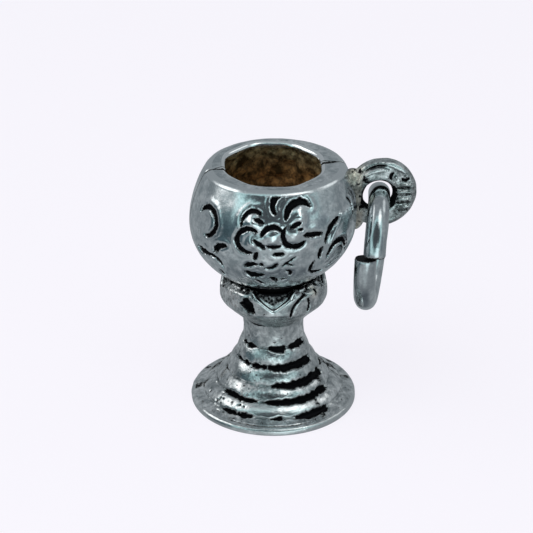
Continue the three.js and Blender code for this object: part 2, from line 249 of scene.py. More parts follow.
# Finish of the bowl: relief in millimetres, blackness and polish from 0 to 1.
# A pair is where an effect starts and where it is full.
BOWL_DENTS = 0.03
BOWL_SKIN = 0.012
CAVITY_ROUGH = 0.22
RIM_ROUGH = 0.02
PIT_DEPTH = 0.05
PIT_BLACK = 0.8
SEAM_DEPTH = 0.07
SEAM_WIDE = 0.07
SEAM_GAPE = 0.08
SEAM_GAPE_X = (3.3, 2.7)
RIDGE_SHARE = 0.6
FACET_Z = (11.5, RIM_Z)
# Painted shade: the bowl's wall goes black from the first height down to the second, over the collar, and
# its underside is black
UNDER_SHADE_Z = (8.35, 7.95)
STAIN_TOP_Z = (RIM_Z - 0.05, RIM_Z - 0.4)
STAIN_RED_Z = (13.4, 12.0)
STAIN_PALE = 0.8
LIP_POLISH = 0.45
DOME_POLISH = 0.8
EDGE_POLISH = 0.6

# Finish of the stem, with turns in degrees from the middle of the front
STEM_DENTS = 0.03
STEM_SKIN = 0.016
GROOVE_DEPTH = 0.22
GROOVE_WIDE = 0.115
GROOVE_RIGHT = 0.125
GROOVE_RAGGED = 0.2
GROOVE_WANDER = 0.06
GROOVE_PLAIN = 0.35
BRIM_LINE_DEPTH = 0.03
BRIM_LINE_WIDE = 0.05
BRIM_LINE_BLACK = 0.7
BRIM_LINE_TURN = (-32, 26)
MARKS_LOW_Z = 5.7
MARKS_LIP = 0.02
NECK_R = 1.8
CREASE_R = 2.3
CREASE_DEPTH = 0.3
FOOT_PITS_TURN = ((-12, -30), (-92, -70))
FOOT_PITS_R = (4.3, 4.0)
FOOT_PITS_Z = (1.7, 1.1)
SHOULDER_Z = (7.15, 7.4)
COLLAR_DARKER_Z = (6.3, 6.7)
COLLAR_DARKER_TURN = (-15, -45)
STREAK_R = (4.42, 4.3)
STREAK_Z = (2.6, 1.4)
BOSS_HEIGHT = 0.1
BOSS_BROWN = 0.4
BRIM_R = (4.3, 4.45)
OUTER_RIB_R = ((3.1, 3.3), (3.9, 3.7))
# Painted highlight: a band of lighter metal just under the collar's edge, on the side facing the camera
HIGHLIGHT_BAND_DROP = 0.07
HIGHLIGHT_BAND_WIDE = 0.1

# Finish of the eye and the wire
EYE_SKIN = 0.035
EYE_PIT_DEPTH = 0.04
EYE_PIT_BLACK = 0.75
EYE_PITS_X = (5.3, 5.0)
EYE_RAISE = 1.25
EYE_TARNISH = 0.44
EYE_TARNISH_X = (6.1, 6.6)
# Above this height the marks are blackest, for the dots' painted shadows, and the proud parts most polished
EYE_DOTS_Z = (12.6, 12.8)
SOLDER_X = (5.1, 4.5)
SOLDER_BROWN = 0.5
WIRE_SKIN = 0.02
WIRE_CUT_ROUGH = 0.05
WIRE_CUT_ROUND = 0.93

# Grid sizes. The rows of a bowl half are those of its wall, the flat of its rim and its cavity.
UNDER_ROWS = 6
EDGE_ROWS = 10
LIP_ROWS = 7
FRONT_COLUMNS = 340
FRONT_ROWS = (170, 14, 60)
BACK_COLUMNS = 260
BACK_ROWS = (120, 12, 54)
STEM_COLUMNS = 352
RING_STEPS = 180
RING_SIDES = 40

# Colours
OXIDE_BLACK = (0.004, 0.004, 0.005)
STAIN_DARK = (0.06, 0.038, 0.017)
STAIN_OLIVE = (0.64, 0.53, 0.31)
STAIN_RED = (0.53, 0.29, 0.115)
FLOOR_GREY = (0.15, 0.15, 0.15, 1)
FLOOR_GLOW = (0.815, 0.79, 0.85, 1)
FLOOR_HALF = 2.0
# Silver of each piece: light colour, dark colour, roughness, grain, and how rare its black specks are
SILVERS = {
    "bowl_silver": ((0.88, 0.9, 0.91), (0.38, 0.43, 0.45), 0.07, 0.2, 0.7),
    "stem_silver": ((0.92, 0.93, 0.93), (0.27, 0.3, 0.31), 0.07, 0.45, 0.61),
    "eye_silver": ((0.8, 0.83, 0.83), (0.14, 0.17, 0.17), 0.09, 0.45, 0.6),
    "wire_silver": ((0.7, 0.73, 0.74), (0.42, 0.45, 0.47), 0.06, 0.12, 0.72),
}

# The studio is grey, with a dark figure at the camera and a bright outline of light round it.
FIGURE_AZIMUTH = math.radians(-8.7)
FIGURE_ELEVATION = math.radians(36)
FIGURE_HALF = (0.67, 0.45)
# Colours from the middle of the figure outwards, by distance in half sizes, as far as REACH.
# The outline wanders in and out by EDGE_UNEVEN.
REACH = 3.0
EDGE_UNEVEN = 0.14
FIGURE_STOPS = [
    (0.0, (0.07, 0.08, 0.09)),
    (0.84, (0.1, 0.12, 0.13)),
    (0.94, (0.5, 0.76, 0.78)),
    (1.12, (0.74, 1.0, 1.02)),
    (1.32, (0.42, 0.47, 0.49)),
    (1.9, (0.325, 0.355, 0.375)),
    (3.0, (0.315, 0.345, 0.365)),
]
# Other patches: degrees to the right of the front, degrees up, degrees across, and added brightness
PATCHES = [
    (-81, 1, 60, (-0.31, -0.31, -0.31)),
    (58, 2, 34, (-0.15, -0.15, -0.14)),
    (0, -88, 70, (-0.18, -0.19, -0.19)),
    (-10, -28, 56, (0.16, 0.18, 0.18)),
    (10, -4, 48, (0.7, 0.86, 0.87)),
    (-58, -32, 40, (0.12, 0.13, 0.13)),
    (-102, 38, 48, (1.45, 1.45, 1.43)),
    (40, 60, 38, (1.25, 1.25, 1.23)),
    (100, 38, 32, (0.7, 0.71, 0.7)),
]
# Key light, high to the left of the camera
KEY_AT = (-60, -60, 150)
KEY_AIM = (0, 0, 8)
KEY_SIZE = (120, 120)
KEY_POWER = 0.12
KEY_COLOUR = (1.0, 0.99, 0.97)


# Numbers and noise
def smoothstep(low, high, value):
    """0 at low, 1 at high, with a soft start and end. Low may be the larger."""
    t = np.clip((value - low) / (high - low), 0, 1)
    return t * t * (3 - 2 * t)


LATTICE = np.random.RandomState(7).rand(24, 24, 24)


def value_noise(points, size, offset=0.0):
    """Smooth noise from 0 to 1, with features about size millimetres wide."""
    place = np.asarray(points) / size + offset + 1000
    cell = np.floor(place).astype(int)
    part = place - cell
    part = part * part * (3 - 2 * part)
    total = 0
    for corner in range(8):
        step = np.array([corner & 1, corner >> 1 & 1, corner >> 2])
        index = (cell + step) % LATTICE.shape[0]
        weight = np.prod(np.where(step, part, 1 - part), axis=-1)
        total = total + weight * LATTICE[index[..., 0], index[..., 1], index[..., 2]]
    return total


def rough_noise(points, size, octaves=3, offset=0.0):
    """Noise about 0, with finer and weaker layers added."""
    total = 0
    for octave in range(octaves):
        total = total + (value_noise(points, size / 2 ** octave, offset + octave * 5.3) - 0.5) / 2 ** octave
    return total


def spline_through(points, count):
    """A Catmull-Rom curve through points, sampled at even steps of its length."""
    points = np.array(points, float)
    padded = np.vstack([2 * points[0] - points[1], points, 2 * points[-1] - points[-2]])
    dense = []
    for i in range(len(points) - 1):
        p, q, r, s = padded[i:i + 4]
        t = np.linspace(0, 1, 40, endpoint=False)[:, None]
        dense.append(0.5 * (2 * q + (r - p) * t + (2 * p - 5 * q + 4 * r - s) * t ** 2
                            + (3 * q - p - 3 * r + s) * t ** 3))
    dense = np.vstack(dense + [points[-1:]])
    return even_steps(dense, count)


def even_steps(line, count):
    """A line of points, sampled again at even steps of its length."""
    length = np.concatenate([[0], np.cumsum(np.linalg.norm(np.diff(line, axis=0), axis=1))])
    at = np.linspace(0, length[-1], count)
    return np.stack([np.interp(at, length, line[:, k]) for k in range(line.shape[1])], -1)


def arc_through(a, b, c, count=24):
    """Points on the arc from a through b to c, or on a straight line where they hardly bend."""
    p, q, r = (np.array(point, float) for point in (a, b, c))
    bend = 2 * np.cross(q - p, r - p)
    if abs(bend) < 0.02:
        return np.linspace(p, r, count)
    pq, pr = (q - p) @ (q - p), (r - p) @ (r - p)
    centre = p + np.array([(r - p)[1] * pq - (q - p)[1] * pr, (q - p)[0] * pr - (r - p)[0] * pq]) / bend
    start, via, end = (math.atan2(*(point - centre)[::-1]) for point in (p, q, r))
    full = 2 * math.pi
    sweep = (end - start) % full
    if (via - start) % full > sweep:
        sweep -= full
    angles = start + sweep * np.linspace(0, 1, count)
    return centre + np.linalg.norm(p - centre) * np.stack([np.cos(angles), np.sin(angles)], -1)


def stroke_field(u, v, strokes, lip=STROKE_LIP, wobble=None):
    """How deep each point is cut, how high the lip beside a cut stands, and how black it is."""
    depth, raised, black = (np.zeros_like(u) for _ in range(3))
    for a, b, c, width, taper in strokes:
        line = arc_through(a, b, c)
        reach = width + STROKE_REACH
        low, high = line.min(0) - reach, line.max(0) + reach
        near = np.nonzero((u > low[0]) & (u < high[0]) & (v > low[1]) & (v < high[1]))
        points = np.stack([u[near], v[near]], -1)
        best = np.full(len(points), 9.0)
        along = np.zeros(len(points))
        for i in range(len(line) - 1):
            run = line[i + 1] - line[i]
            t = np.clip((points - line[i]) @ run / (run @ run), 0, 1)
            gap = np.linalg.norm(points - line[i] - t[:, None] * run, axis=1)
            closer = gap < best
            best = np.where(closer, gap, best)
            along = np.where(closer, (i + t) / (len(line) - 1), along)
        swell = np.sqrt(np.clip(4 * along * (1 - along), 0.0, 1)) * (1 - taper * (2 * along - 1))
        half = width / 2 * (STROKE_TIP + STROKE_SWELL * swell)
        if wobble is not None:
            half = half * (1 + wobble[near])
        cut = width * STROKE_DEPTH * (1 - smoothstep(0.35, 1.05, best / half))
        beside = np.exp(-((best - half - STROKE_LIP_OUT) / STROKE_LIP_OUT) ** 2)
        depth[near] = np.maximum(depth[near], cut)
        raised[near] = np.maximum(raised[near], lip * beside)
        black[near] = np.maximum(black[near], 1 - smoothstep(0.75, 1.08, best / half))
    return depth, raised * (1 - black), black


# Meshes
def mesh_object(name, verts, faces, values, sharp=40):
    """A smooth mesh in metres from points in millimetres, with named values at its points."""
    mesh = bpy.data.meshes.new(name)
    mesh.from_pydata((np.asarray(verts) * MM).tolist(), [], faces)
    for label, numbers in values.items():
        layer = mesh.attributes.new(label, "FLOAT", "POINT")
        layer.data.foreach_set("value", np.asarray(numbers, np.float32))
    mesh.shade_smooth()
    mesh.set_sharp_from_angle(angle=math.radians(sharp))
    mesh.update()
    piece = bpy.data.objects.new(name, mesh)
    bpy.context.collection.objects.link(piece)
    return piece


def lathe_faces(rows, columns, closed):
    """Faces of a grid between two single points: point 0, the rows of the grid, then the last point."""
    faces = []
    wide = columns if closed else columns - 1
    last = rows * columns + 1
    for k in range(wide):
        faces.append((0, 1 + (k + 1) % columns, 1 + k))
    for j in range(rows - 1):
        at = 1 + j * columns
        for k in range(wide):
            right = (k + 1) % columns
            faces.append((at + k, at + right, at + columns + right, at + columns + k))
    at = 1 + (rows - 1) * columns
    for k in range(wide):
        faces.append((at + k, at + (k + 1) % columns, last))
    return faces


def surface_normals(grid, closed):
    """Unit normals of a grid of points, rows up the profile and columns round the axis."""
    down = np.gradient(grid, axis=0)
    if closed:
        across = (np.roll(grid, -1, axis=1) - np.roll(grid, 1, axis=1)) / 2
    else:
        across = np.gradient(grid, axis=1)
    normal = np.cross(across, down)
    return normal / np.maximum(np.linalg.norm(normal, axis=-1, keepdims=True), 1e-9)


# Bowl
def ellipse_r(z, widest, rise, drop):
    reach = (z - BELLY_Z) / np.where(z > BELLY_Z, rise, drop)
    return widest * np.sqrt(np.clip(1 - reach ** 2, 0, 1))


def bowl_r(z):
    return ellipse_r(z, BELLY_R, OUTER_RISE, OUTER_DROP)


def cavity_r(z):
    return ellipse_r(z, CAVITY_R, CAVITY_RISE, BELLY_Z - CAVITY_FLOOR_Z)


def rounded(centre, radius, start, end, count):
    """Points of a rounded edge between two angles in radians."""
    turn = np.linspace(start, end, count)
    return np.stack([centre[0] + radius * np.cos(turn), centre[1] + radius * np.sin(turn)], -1)


UNDER, WALL, EDGE, FLAT, LIP, CAVITY = range(6)


def bowl_profile(wall_rows, flat_rows, cavity_rows):
    """Rows of (radius, height) from the underside over the rim to the cavity floor, and each row's part."""
    top = RIM_Z - RIM_ROUND * (1 - math.sin(RIM_TILT))
    z = np.linspace(BOWL_BASE_Z, top, 400)
    wall = even_steps(np.stack([bowl_r(z), z], -1), wall_rows)
    under_r = np.linspace(0.3, wall[0, 0] - 0.1, UNDER_ROWS)
    under = np.stack([under_r, np.full(UNDER_ROWS, BOWL_BASE_Z)], -1)
    flat_r = wall[-1, 0] - RIM_ROUND * math.cos(RIM_TILT)
    mouth_r = cavity_r(np.array(RIM_Z)) + MOUTH_ROUND
    edge = rounded((flat_r, RIM_Z - RIM_ROUND), RIM_ROUND, RIM_TILT, math.pi / 2, EDGE_ROWS)[1:]
    lip = rounded((mouth_r, RIM_Z - MOUTH_ROUND), MOUTH_ROUND, math.pi / 2, 0.93 * math.pi, LIP_ROWS)
    flat = np.linspace(edge[-1], lip[0], flat_rows + 2)[1:-1]
    drop = BELLY_Z - CAVITY_FLOOR_Z
    down = np.concatenate([np.linspace(RIM_Z - MOUTH_ROUND, BELLY_Z, 200),
                           BELLY_Z - drop * np.sin(np.linspace(0, 0.98, 200)[1:] * math.pi / 2)])
    cavity = even_steps(np.stack([cavity_r(down), down], -1), cavity_rows)
    parts = [under, wall, edge, flat, lip, cavity]
    kinds = np.concatenate([np.full(len(part), kind) for kind, part in enumerate(parts)])
    return np.vstack(parts), kinds


def bowl_grid(profile, kinds, angles):
    """The plain half shell, with the oval, faceted mouth off the middle of the rim."""
    r, z = (np.repeat(profile[:, k:k + 1], len(angles), 1) for k in range(2))
    inside = (kinds >= LIP)[:, None]
    facets = 1 - MOUTH_FACET * np.cos(MOUTH_SIDES * (angles - FRONT)) * smoothstep(*FACET_Z, z)
    r = np.where(inside, r * facets, r)
    x = r * np.cos(angles) * np.where(inside, MOUTH_SQUEEZE_X, 1) + np.where(inside, MOUTH_X, 0)
    y = r * np.sin(angles) * np.where(inside, MOUTH_SQUEEZE_Y, 1) + np.where(inside, MOUTH_Y, 0)
    tucked = np.where(inside | (y > 0), 1, 1 - FRONT_TUCK * smoothstep(TUCK_Z, RIM_Z, z))
    grid = np.stack([x, y * tucked, z], -1)
    flat = np.nonzero(kinds == FLAT)[0]
    blend = np.linspace(0, 1, len(flat) + 2)[1:-1, None, None]
    grid[flat] = grid[flat[0] - 1] * (1 - blend) + grid[flat[-1] + 1] * blend
    return grid


def bowl_half(name, side, columns, rows, strokes, middle):
    """One half shell of the bowl: side -1 faces the camera, side 1 is the back."""
    profile, kinds = bowl_profile(*rows)
    angles = np.linspace(-math.pi, 0, columns) if side < 0 else np.linspace(0, math.pi, columns)
    grid = bowl_grid(profile, kinds, angles)
    z = grid[..., 2]
    normal = surface_normals(grid, False)
    part = np.repeat(kinds[:, None], columns, 1)
    wall = part == WALL
    rim = (part >= EDGE) & (part <= LIP)

    u = (np.mod(angles - middle + math.pi, 2 * math.pi) - math.pi) * BELLY_R
    u = np.repeat(u[None], len(profile), 0)
    v = z - BELLY_Z
    depth, raised, black = stroke_field(u, v, strokes, wobble=0.5 * rough_noise(grid, 0.18, 2))
    domes = sum(np.exp(-((u - a) ** 2 + (v - b) ** 2) / (size * size / 2)) for a, b, size in PETAL_DOMES)
    ridges = stroke_field(u, v, LEAF_RIDGES)[0]
    worn = BOWL_DENTS * rough_noise(grid, 1.6, 2) + BOWL_SKIN * rough_noise(grid, 0.5, 2, 12.0)
    corner = smoothstep(0.5, 2.5, grid[..., 0]) * smoothstep(0.5, 1.5, grid[..., 1])
    rim_pits = smoothstep(0.72, 0.8, value_noise(grid, 0.24, 17.0)) * (part == FLAT) * corner
    seam_wide = SEAM_WIDE + SEAM_GAPE * smoothstep(*SEAM_GAPE_X, np.abs(grid[..., 0]))
    seam = np.exp(-(grid[..., 1] / seam_wide) ** 2) * rim
    swollen = np.minimum(domes, 1)
    carved = raised - depth + RIDGE_SHARE * ridges * (1 - black) + DOME_HEIGHT * swollen
    push = np.where(wall, carved + worn, 0)
    push = push + np.where(part == CAVITY, CAVITY_ROUGH * rough_noise(grid, 0.5, 3, 3.1), 0)
    push = push + np.where(rim, RIM_ROUGH * rough_noise(grid, 0.7, 2, 9.0), 0)
    push = push - PIT_DEPTH * rim_pits - SEAM_DEPTH * seam
    grid = grid + normal * push[..., None]
    grid[..., 0] += LEAN * (grid[..., 2] - LEAN_PIVOT_Z)
    grid[..., 1] += side * SEAM_GAP / 2

    # Painted shade: the underside of the bowl and the foot of its wall, over the collar, are blackened
    shade = np.where(wall, smoothstep(*UNDER_SHADE_Z, z), 1.0 * (part == UNDER))
    oxide = np.maximum(np.where(wall, black, 0), shade) + seam + PIT_BLACK * rim_pits
    oxide[:, [0, -1]] = 1.0
    brown = np.where(part == CAVITY, smoothstep(*STAIN_TOP_Z, z), 0)
    brown = brown * (STAIN_PALE + (1 - STAIN_PALE) * smoothstep(*STAIN_RED_Z, z))
    proud = np.maximum(LIP_POLISH * raised / STROKE_LIP, DOME_POLISH * swollen)
    polish = np.where(wall, proud, EDGE_POLISH * (part == EDGE) + (part == LIP))
    poles = [np.array([[LEAN * (pole - LEAN_PIVOT_Z), side * SEAM_GAP / 2, pole]])
             for pole in (BOWL_BASE_Z, CAVITY_FLOOR_Z)]
    verts = np.vstack([poles[0], grid.reshape(-1, 3), poles[1]])
    count = len(profile)
    last = count * columns + 1
    start = [0] + [1 + j * columns for j in range(count)] + [last]
    end = [0] + [columns + j * columns for j in range(count)] + [last]
    faces = lathe_faces(count, columns, False) + [tuple(start), tuple(end[::-1])]
    values = {
        "oxide": np.concatenate([[1], np.clip(oxide, 0, 1).ravel(), [0]]),
        "brown": np.concatenate([[0], brown.ravel(), [1]]),
        "polish": np.concatenate([[0], polish.ravel(), [0]]),
    }
    return mesh_object(name, verts, faces, values)


# Stem
def from_front(angles):
    """Angle from the middle of the front, between -pi and pi."""
    return np.mod(angles - FRONT + math.pi, 2 * math.pi) - math.pi


def lip_height(angles):
    """Top of the collar: level on the petals, down to the floor of a V between them."""
    pitch = 2 * math.pi / PETALS
    off = (np.mod(angles - FRONT + pitch / 2, pitch) - pitch / 2) * COLLAR_R
    rise = np.clip(np.hypot(off, 0.1) / NOTCH_HALF_WIDTH, 0, 1)
    return NOTCH_FLOOR_Z + (COLLAR_TOP_Z - NOTCH_FLOOR_Z) * rise


def collar_r(z):
    return np.interp(z, [COLLAR_TURN_Z, COLLAR_TOP_Z], [COLLAR_R, COLLAR_LIP_R])


def black_share(angles, stretches):
    """1 on the black stretches of a groove, which repeat on the back, and 0 between them."""
    share = 0
    for turned in (0, math.pi):
        degrees = np.degrees(from_front(angles + turned))
        for low, high in stretches:
            inside = smoothstep(low - 5, low + 5, degrees) * smoothstep(high + 5, high - 5, degrees)
            share = np.maximum(share, inside)
    return share


def ringed_slope(angles, add):
    """The foot's ribs and the neck, pushed out at each rib and in at each groove."""
    slope = spline_through([(FOOT_R - 0.1, FOOT_EDGE + 0.02)] + RING_GROOVES + NECK_POINTS, 170)
    tangent = np.gradient(slope, axis=0)
    tangent /= np.linalg.norm(tangent, axis=1, keepdims=True)
    at = np.concatenate([[0], np.cumsum(np.linalg.norm(np.diff(slope, axis=0), axis=1))])
    stops = [at[np.argmin(np.linalg.norm(slope - np.array(groove), axis=1))] for groove in RING_GROOVES]
    shares = [black_share(angles, stretches) for stretches in RING_BLACK]
    ring = np.stack([np.cos(angles), np.sin(angles), np.zeros(len(angles))], -1)
    to_right = smoothstep(-0.6, 0.9, np.sin(from_front(angles)))
    bulge = RIB_BULGE * (0.35 + 0.65 * smoothstep(0.1, 0.7, np.abs(np.cos(from_front(angles)))))
    brim_share = black_share(angles, [BRIM_LINE_TURN])
    for i, (r, z) in enumerate(slope):
        place = ring * r + [0, 0, z]
        push, black = np.zeros(len(angles)), np.zeros(len(angles))
        for k, stop in enumerate(stops):
            ragged = rough_noise(place, 0.24, 3, 2.0 + k)
            wide = GROOVE_WIDE + GROOVE_RIGHT * to_right + GROOVE_RAGGED * ragged
            wide = wide * (GROOVE_PLAIN + (1 - GROOVE_PLAIN) * shares[k])
            gap = np.abs(at[i] - stop - GROOVE_WANDER * rough_noise(ring * 3, 1.2, 2, 5.0 * k)) / wide
            groove = (1 - smoothstep(0.3, 1.2, gap)) * (0.4 + 0.6 * shares[k])
            push = np.minimum(push, -GROOVE_DEPTH * groove)
            filled = (1 - smoothstep(0.75, 1.1, gap)) * smoothstep(0.1, 0.4, shares[k])
            black = np.maximum(black, filled)
        if stops[0] < at[i] < stops[-1]:
            k = np.searchsorted(stops, at[i])
            part = (at[i] - stops[k - 1]) / (stops[k] - stops[k - 1])
            push = push + bulge * math.sin(math.pi * part) ** 0.8
        brim = math.exp(-((at[i] - BRIM_LINE) / BRIM_LINE_WIDE) ** 2) * brim_share
        push = push - BRIM_LINE_DEPTH * brim
        black = np.maximum(black, BRIM_LINE_BLACK * brim)
        add(r + tangent[i, 1] * push, z - tangent[i, 0] * push, black)


def stem_rows(angles):
    """Rows of the stem from its underside to the seat: radius, height and blackness at every angle."""
    rows = []

    def add(r, z, black=0.0):
        rows.append(np.stack(np.broadcast_arrays(r, z, black, angles)[:3], -1))

    for r in np.linspace(0.6, FOOT_R - FOOT_ROUND, 8):
        add(r, 0.0)
    for size, centre_z, start in ((FOOT_TOE, FOOT_TOE, -75), (FOOT_ROUND, FOOT_EDGE - FOOT_ROUND, 0)):
        for r, z in rounded((FOOT_R - size, centre_z), size, *np.radians([start, start + 75]), 5):
            add(r, z)
    ringed_slope(angles, add)
    for r, z in spline_through(FLARE_POINTS, 26):
        add(r, z)
    lip_z = lip_height(angles)
    for t in np.linspace(0, 1, 30):
        z = COLLAR_LOW_Z + (lip_z - LIP_ROUND - COLLAR_LOW_Z) * t
        add(collar_r(z), z)
    lip_r = collar_r(lip_z)
    for turn in np.radians(np.linspace(20, 150, 8)):
        add(lip_r - LIP_ROUND * (1 - math.cos(turn)), lip_z - LIP_ROUND * (1 - math.sin(turn)))
    edge_r, edge_z = lip_r - 2 * LIP_ROUND, lip_z - LIP_ROUND / 2
    shelf_r = np.maximum(lip_r - SHELF_STEP, GUTTER_R + 0.1)
    shelf_z = np.maximum(SHELF_Z, lip_z - LIP_ROUND)
    for t in np.linspace(0.05, 1, 10):
        dark = SHELF_TARNISH * smoothstep(0.1, 0.3, t) + (1 - SHELF_TARNISH) * smoothstep(0.8, 1, t)
        add(edge_r * (1 - t) + shelf_r * t, edge_z * (1 - t) + shelf_z * t, dark)
    for t in np.linspace(0.1, 1, 8):
        add(shelf_r * (1 - t) + GUTTER_R * t, shelf_z * (1 - t) + GUTTER_Z * t, 1.0)
    for t in np.linspace(0.1, 1, 6):
        add(GUTTER_R * (1 - t) + SEAT_R * t, GUTTER_Z * (1 - t) + SEAT_Z * t, 1.0)
    add(SEAT_R / 2, SEAT_Z, 1.0)
    return np.array(rows)


def stem_marks(angles, grid, r, z, outside):
    """How far the collar's strokes and the neck's crease push each point, and how black they are."""
    push, black = np.zeros_like(z), np.zeros_like(z)
    wobble = 0.5 * rough_noise(grid, 0.15, 2)
    collar = outside & (z > MARKS_LOW_Z)
    for turned in (0, math.pi):
        u = np.repeat(from_front(angles - turned)[None] * COLLAR_R, len(z), 0)
        depth, raised, dark = stroke_field(u, z, PETAL_MARKS, MARKS_LIP, wobble)
        push = push + np.where(collar, raised - depth, 0)
        black = np.maximum(black, np.where(collar, dark, 0))
    u = np.repeat(from_front(angles)[None] * NECK_R, len(z), 0)
    depth, _, dark = stroke_field(u, z, CREASE_MARKS, 0.0, wobble)
    push = push - np.where(r < CREASE_R, CREASE_DEPTH * depth, 0)
    return push, np.maximum(black, np.where(r < CREASE_R, dark, 0))


def stem_patina(angles, grid, r, z, outside):
    """Pits, tarnish streaks with the collar's darker left side, and the solder blob, each from 0 to 1 at
    every point.
    """
    turn = from_front(angles)[None]
    degrees = np.degrees(turn)
    to_side = np.abs(np.sin(turn))
    begin, end = FOOT_PITS_TURN
    left = smoothstep(*begin, degrees) * smoothstep(*end, degrees) * smoothstep(*FOOT_PITS_R, r)
    foot_pits = smoothstep(0.73, 0.84, value_noise(grid, 0.17, 31.0)) * left * smoothstep(*FOOT_PITS_Z, z)
    shoulder = smoothstep(*SHOULDER_Z, z) * smoothstep(0.3, 0.6, to_side)
    collar_pits = smoothstep(0.62, 0.74, value_noise(grid, 0.24, 36.0)) * shoulder
    pits = np.maximum(foot_pits, collar_pits) * outside
    swept = np.stack([np.broadcast_to(angles * STREAK_RATE, z.shape), r * 0.3, z * 0.3], -1)
    slope = smoothstep(*STREAK_Z, z) * smoothstep(*STREAK_R, r) * smoothstep(0.3, 0.75, to_side)
    streaks = smoothstep(0.5, 0.74, value_noise(swept, 0.4, 41.0)) * outside * slope
    # The collar's left half, above its lower edge, is made darker
    left_darker = smoothstep(*COLLAR_DARKER_Z, z) * smoothstep(*COLLAR_DARKER_TURN, degrees) * outside
    away = np.hypot((turn - BOSS_TURN) * COLLAR_R, z - BOSS_Z)
    boss = np.exp(-(away / BOSS_R) ** 2) * outside
    return pits, STREAK_TARNISH * streaks + COLLAR_LEFT_DARKER * left_darker, boss


def stem_polish_and_front_highlight(angles, r, z, outside):
    """Polish along the brim, and a painted highlight on the side facing the camera, along the collar's edge
    and the outermost rib.
    """
    ahead = smoothstep(0.4, 0.9, np.cos(from_front(angles)))[None]
    below = z - lip_height(angles)[None] + HIGHLIGHT_BAND_DROP
    lip_highlight = np.exp(-(below / HIGHLIGHT_BAND_WIDE) ** 2) * outside * ahead
    begin, end = OUTER_RIB_R
    rib_highlight = smoothstep(*begin, r) * smoothstep(*end, r) * outside * ahead
    return np.maximum(lip_highlight, BRIM_POLISH * smoothstep(*BRIM_R, r) + RIB_HIGHLIGHT * rib_highlight)


def stem_piece(columns):
    angles = np.linspace(-math.pi, math.pi, columns, endpoint=False)
    r, z, black = np.moveaxis(stem_rows(angles), -1, 0)
    grid = np.stack([r * np.cos(angles), r * np.sin(angles), z], -1)
    normal = surface_normals(grid, True)
    outside = (z > 0.05) & (black < 0.5) & (r > SEAT_R / 2) & (z < COLLAR_TOP_Z)
    skin = STEM_DENTS * rough_noise(grid, 0.8, 2, 4.0) + STEM_SKIN * rough_noise(grid, 0.25, 2, 14.0)
    marked, dark = stem_marks(angles, grid, r, z, outside)
    pits, tarnish, boss = stem_patina(angles, grid, r, z, outside)
    # On the stem the polish values include a painted highlight on its front
    polish = stem_polish_and_front_highlight(angles, r, z, outside)
    push = np.where(outside, skin, 0) + marked - PIT_DEPTH * pits + BOSS_HEIGHT * boss
    oxide = np.clip(np.maximum(black, dark) + PIT_BLACK * pits + tarnish, 0, 1)
    grid = grid + normal * push[..., None]
    grid[..., 2] = np.maximum(grid[..., 2], 0)
    verts = np.vstack([[[0, 0, 0]], grid.reshape(-1, 3), [[0, 0, SEAT_Z]]])
    values = {
        "oxide": np.concatenate([[0], oxide.ravel(), [1]]),
        "brown": np.concatenate([[0], BOSS_BROWN * boss.ravel(), [0]]),
        "polish": np.concatenate([[0], polish.ravel(), [0]]),
    }
    return mesh_object("stem_foot_dressed", verts, lathe_faces(len(z), columns, True), values, 50)


# Hanging eye
def eye_section(count):
    """A rounded rectangle: the side and face each point is near, and its way out from the corner."""
    corners = [(1, 1, 0), (0, 1, 90), (0, 0, 180), (1, 0, 270)]
    section = []
    for across, through, start in corners:
        for turn in np.radians(start + np.linspace(0, 90, count // 4)):
            section.append((across, through, math.cos(turn), math.sin(turn)))
    return np.array(section)


def closed_ring_faces(rows, columns):
    """Quads of a grid that closes on itself both ways."""
    faces = []
    for j in range(rows):
        for k in range(columns):
            below, right = (j + 1) % rows, (k + 1) % columns
            here, under = j * columns, below * columns
            faces.append((here + k, here + right, under + right, under + k))
    return faces


def eye_base():
    """The thick ring of the eye, with its hole off the middle."""
    section = eye_section(28)
    turn = np.linspace(0, 2 * math.pi, 128, endpoint=False)
    inner = np.stack([HOLE_X + HOLE_R * np.cos(turn), HOLE_Z + HOLE_R * np.sin(turn)], -1)
    outer = np.stack([EYE_X + EYE_R * np.cos(turn), EYE_Z + EYE_R * np.sin(turn)], -1)
    width = np.linalg.norm(outer - inner, axis=1)
    across = (outer - inner) / width[:, None]
    corner = np.where(section[:, 0] > 0.5, width[:, None] - EYE_ROUND, EYE_ROUND)
    offset = corner + EYE_ROUND * section[:, 2]
    deep = np.where(section[:, 1] > 0.5, 1, -1) * (EYE_THICK / 2 - EYE_ROUND) + EYE_ROUND * section[:, 3]
    flat = inner[:, None] + across[:, None] * offset[..., None]
    verts = np.stack([flat[..., 0], np.broadcast_to(deep, offset.shape), flat[..., 1]], -1)
    return verts.reshape(-1, 3), closed_ring_faces(len(turn), len(section))


def ball(centre, halves, rows=16, columns=24):
    """An ellipsoid from its centre and half sizes."""
    tilt = np.linspace(0, math.pi, rows + 2)[1:-1]
    turn = np.linspace(0, 2 * math.pi, columns, endpoint=False)
    grid = np.stack([np.sin(tilt)[:, None] * np.cos(turn), np.sin(tilt)[:, None] * np.sin(turn),
                     np.repeat(-np.cos(tilt)[:, None], columns, 1)], -1)
    verts = np.vstack([[[0, 0, -1]], grid.reshape(-1, 3), [[0, 0, 1]]])
    return verts * np.array(halves) + np.array(centre), lathe_faces(rows, columns, True)


